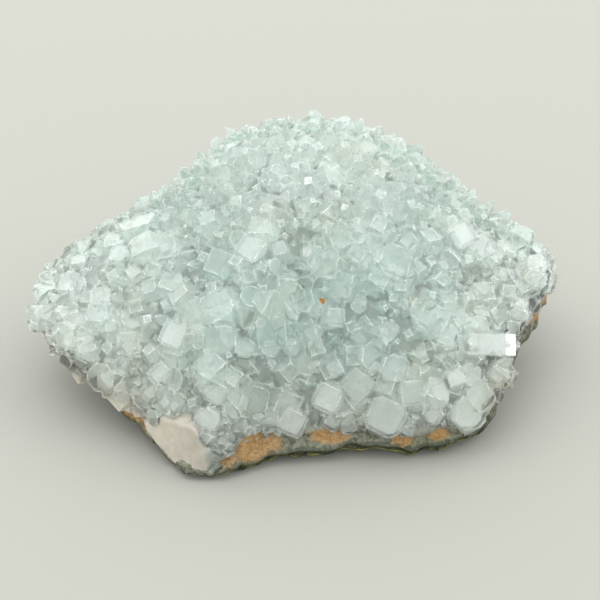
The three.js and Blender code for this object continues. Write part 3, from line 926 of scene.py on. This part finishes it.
def clear_crystal():
    """Clear crystal with a faint veil inside, thin milky lines along the edges, and earthy low parts that
    are hardly clear at all."""
    finish = Finish("clear crystal")
    part = crystal_values(finish)
    is_block = finish.spread(part.milk, 0.8, 0.9)
    not_block = finish.math("SUBTRACT", 1.0, is_block)
    right_side = finish.math("MULTIPLY_ADD", finish.noise(part.place, 0.5, 4.0), 3.0, part.x)
    right_side = finish.spread(right_side, -20.5, -18.5)
    earth = earth_shares(finish, part, not_block)

    tone = finish.blend(is_block, crystal_tone(finish, part), block_tone(finish, part, right_side))
    cream = finish.spread(part.x, -50, -22, 0.6, 0.0)
    cream = finish.times(cream, finish.fall(part.z, 8, 24))
    tone = finish.blend(cream, tone, (0.94, 0.86, 0.74))
    tone = earthy_tone(finish, part, tone, earth)

    lines = finish.noise(finish.stretched(part.local, (2.2, 2.2, 0.15)), 1.0, 2.0)
    pits = finish.noise(part.local, 0.8, 3.0, 0.55)
    relief = finish.math("MULTIPLY_ADD", pits, 0.06, finish.times(lines, 0.1))
    bump = finish.add("Bump", {"Height": relief, "Strength": 0.3, "Distance": MM}).outputs[0]

    edge = finish.times(finish.fall(part.distance, 0.05, 0.65), part.is_crystal)
    broken = finish.spread(finish.noise(part.local, 0.5, 2.0), 0.35, 0.6, 0.3, 1.0)
    edge = finish.times(edge, broken)
    veil = finish.spread(finish.noise(part.local, 0.3, 3.0, 0.5, 0.5), 0.35, 0.85)
    earthy = finish.math("MAXIMUM", finish.math("MAXIMUM", earth.stained, earth.rind), earth.low_bed)
    milky = finish.math("MULTIPLY_ADD", veil, 0.12, finish.times(part.milk, 0.9))
    milky = finish.math("MULTIPLY_ADD", part.painted_light_and_milk, 0.05, milky)
    milky = finish.math("MAXIMUM", finish.times(edge, 0.36), milky)
    clearer = finish.times(finish.times(is_block, right_side), 0.4)
    milky = finish.math("SUBTRACT", milky, clearer)
    for share, weight in ((earth.left_rim, 0.7), (earthy, 0.97), (earth.crumb, 0.95)):
        milky = finish.math("MAXIMUM", milky, finish.times(share, weight))

    rough = finish.math("MULTIPLY_ADD", finish.math("MAXIMUM", veil, earth.stained), 0.13, 0.11)
    rough = finish.math("MULTIPLY_ADD", part.painted_light_and_milk, 0.02, rough)
    return finish.made({
        "Base Color": tone, "Roughness": rough, "IOR": 1.535,
        "Transmission Weight": finish.spread(milky, 0.0, 1.0, 0.94, 0.02),
        "Coat Weight": finish.math("MULTIPLY_ADD", earthy, -0.35, 0.4),
        "Coat Roughness": 0.08, "Coat IOR": 1.5, "Normal": bump,
    }, ((0.86, 0.94, 0.92), 60.0))


def milky_core():
    """The clouded inside: milky, with darker flaws in cells; darker and warmer low down, which is painted
    shade and painted warm bounce light; and whiter at the ends and the top, which is painted light."""
    finish = Finish("milky core")
    part = crystal_values(finish)
    veil = finish.spread(finish.noise(part.local, 0.6, 4.0, 0.65, 0.8), 0.35, 0.7)
    cells = {"Vector": finish.stretched(part.local, (0.45, 0.45, 0.8)), "Scale": 1.0}
    flaws = finish.add("TexVoronoi", cells).outputs["Color"]
    flaws = finish.add("SeparateColor", {0: flaws}).outputs[0]
    tone = finish.blend(part.own, (0.75, 0.85, 0.82), (0.91, 0.95, 0.93))
    tone = finish.blend(part.is_crystal, (0.70, 0.78, 0.74), tone)
    tone = finish.blend(finish.times(flaws, 0.45), tone, (0.50, 0.64, 0.63))
    tone = finish.blend(finish.times(veil, 0.6), tone, (0.95, 0.97, 0.95))
    # Painted shade and warm bounce light: darker and warmer low down.
    tone = finish.blend(finish.spread(part.z, 12, 32, 0.45, 0.0), tone, (0.66, 0.62, 0.58))
    # Painted light: paler towards the ends and the top.
    tone = finish.blend(finish.times(part.painted_light_and_milk, 0.85), tone, (0.98, 0.99, 0.975))
    pits = finish.noise(part.local, 0.7, 3.0, 0.6)
    bump = finish.add("Bump", {"Height": pits, "Strength": 0.3, "Distance": MM}).outputs[0]
    return finish.made({"Base Color": tone, "Roughness": 0.5, "IOR": 1.1, "Normal": bump})


def basalt():
    """Dark, mottled rock with pale specks. Near its lower edge it is green along the front, with a broken
    yellow-green line above."""
    finish = Finish("basalt")
    place, (_, y, _) = finish.coordinates()
    _, (_, height, _) = finish.attribute("edge")
    cloud = finish.noise(place, 0.5, 5.0, 0.65)
    specks = finish.noise(place, 2.2, 2.0, 0.6)
    tone = finish.blend(finish.spread(cloud, 0.35, 0.65), (0.02, 0.022, 0.013), (0.08, 0.078, 0.045))
    tone = finish.blend(finish.spread(specks, 0.6, 0.72), tone, (0.25, 0.24, 0.17))
    ragged = finish.math("MULTIPLY_ADD", cloud, 1.6, height)
    green = finish.fall(ragged, 0.9, 1.5)
    line = finish.times(green, finish.spread(ragged, 0.4, 0.9))
    line = finish.times(line, finish.fall(y, -30, -20))
    line = finish.times(line, finish.spread(finish.noise(place, 0.25, 2.0), 0.4, 0.55))
    green = finish.times(green, finish.spread(y, -28, -5, 1.0, 0.2))
    tone = finish.blend(finish.times(green, 0.8), tone, (0.028, 0.04, 0.016))
    tone = finish.blend(finish.times(line, 0.9), tone, (0.40, 0.38, 0.10))
    bump = finish.add("Bump", {"Height": cloud, "Strength": 0.6, "Distance": MM}).outputs[0]
    return finish.made({"Base Color": tone, "Roughness": 0.8, "Specular IOR Level": 0.2, "Normal": bump})


# ---- Pieces ----

def rock_plate(name, points):
    """The rock's mesh. At its corners the finish reads the height above the underside's slope."""
    piece = mesh_of(name, *closed_grid(points))
    above = points[..., 2] - ring(np.arange(AROUND) / AROUND)[:, 5] - ROCK_EDGE_HEIGHT
    values = in_order(np.stack([0 * above, above, 0 * above], -1))
    give(piece.data, "edge", values[corner_vertices(piece.data)])
    return piece


rock_points = rock_rows()
rock = rock_plate("basalt_matrix", rock_points)
rock.data.materials.append(basalt())
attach(rock, "root")
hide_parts("rock_matrix")

crust_points = crust_rows()
large_crystals = LARGE_CRYSTALS + [crystal for lump in LUMPS for crystal in bunch(*lump)]
cuts = [mesh_of("rock with its gap", *closed_grid(lifted(rock_points, 0.8 * SEAM_GAP))), below_table()]

crystals = sown(large_crystals, 0)
druse = druse_piece("apophyllite_druse", crust_points, crystals, cuts, [broken_block()])
druse.data.materials.append(clear_crystal())
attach(druse, "root")
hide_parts("apophyllite_crystals")

core = druse_piece("milky_core", core_rows(crust_points), core_crystals(large_crystals), cuts)
core.data.materials.append(milky_core())
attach(core, "root")
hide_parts("apophyllite_crystals")

for cut in cuts:
    bpy.data.meshes.remove(cut.data)


# ---- Stage ----

def pale_floor():
    finish = Finish("pale floor")
    return finish.made({"Base Color": (0.38, 0.365, 0.34, 1), "Roughness": 0.7})


bpy.ops.mesh.primitive_plane_add(size=8, location=(0, 0, 0))
floor = bpy.context.object
floor.data.materials.append(pale_floor())

world = bpy.data.worlds.new("studio")
world.use_nodes = True
world.node_tree.nodes["Background"].inputs["Color"].default_value = (0.87, 0.93, 0.89, 1)
world.node_tree.nodes["Background"].inputs["Strength"].default_value = 1.44
bpy.context.scene.world = world


def soft_light(name, place, size, power, colour):
    """A square area light that faces the cluster's middle."""
    light = bpy.data.lights.new(name, "AREA")
    light.shape = "SQUARE"
    light.size = size
    light.energy = power
    light.color = colour
    lamp = bpy.data.objects.new(name, light)
    lamp.location = place
    lamp.rotation_euler = (Vector((0, 0, 0.03)) - Vector(place)).to_track_quat("-Z", "Y").to_euler()
    bpy.context.scene.collection.objects.link(lamp)


soft_light("key", (-0.45, 0.6, 1.0), 2.4, 13, (1.0, 0.99, 0.96))
soft_light("side", (1.1, 0.3, 0.7), 1.6, 7, (1.0, 1.0, 0.97))
soft_light("glint", (-0.3, -0.1, 1.2), 0.16, 0.5, (1.0, 1.0, 1.0))

CAMERA_TARGET = Vector((0, 0, 0.025))
CAMERA_DISTANCE = 0.43
CAMERA_ELEVATION = math.radians(35)
camera_data = bpy.data.cameras.new("camera")
camera_data.lens = 98.59
camera_data.sensor_width = 36
camera_data.shift_x = 0.0133
camera_data.shift_y = -0.005
camera_data.clip_start = 0.01
camera = bpy.data.objects.new("camera", camera_data)
away = Vector((0, -math.cos(CAMERA_ELEVATION), math.sin(CAMERA_ELEVATION)))
camera.location = CAMERA_TARGET + CAMERA_DISTANCE * away
camera.rotation_euler = (-away).to_track_quat("-Z", "Y").to_euler()
bpy.context.scene.collection.objects.link(camera)
bpy.context.scene.camera = camera
bpy.context.scene.view_settings.view_transform = "Standard"
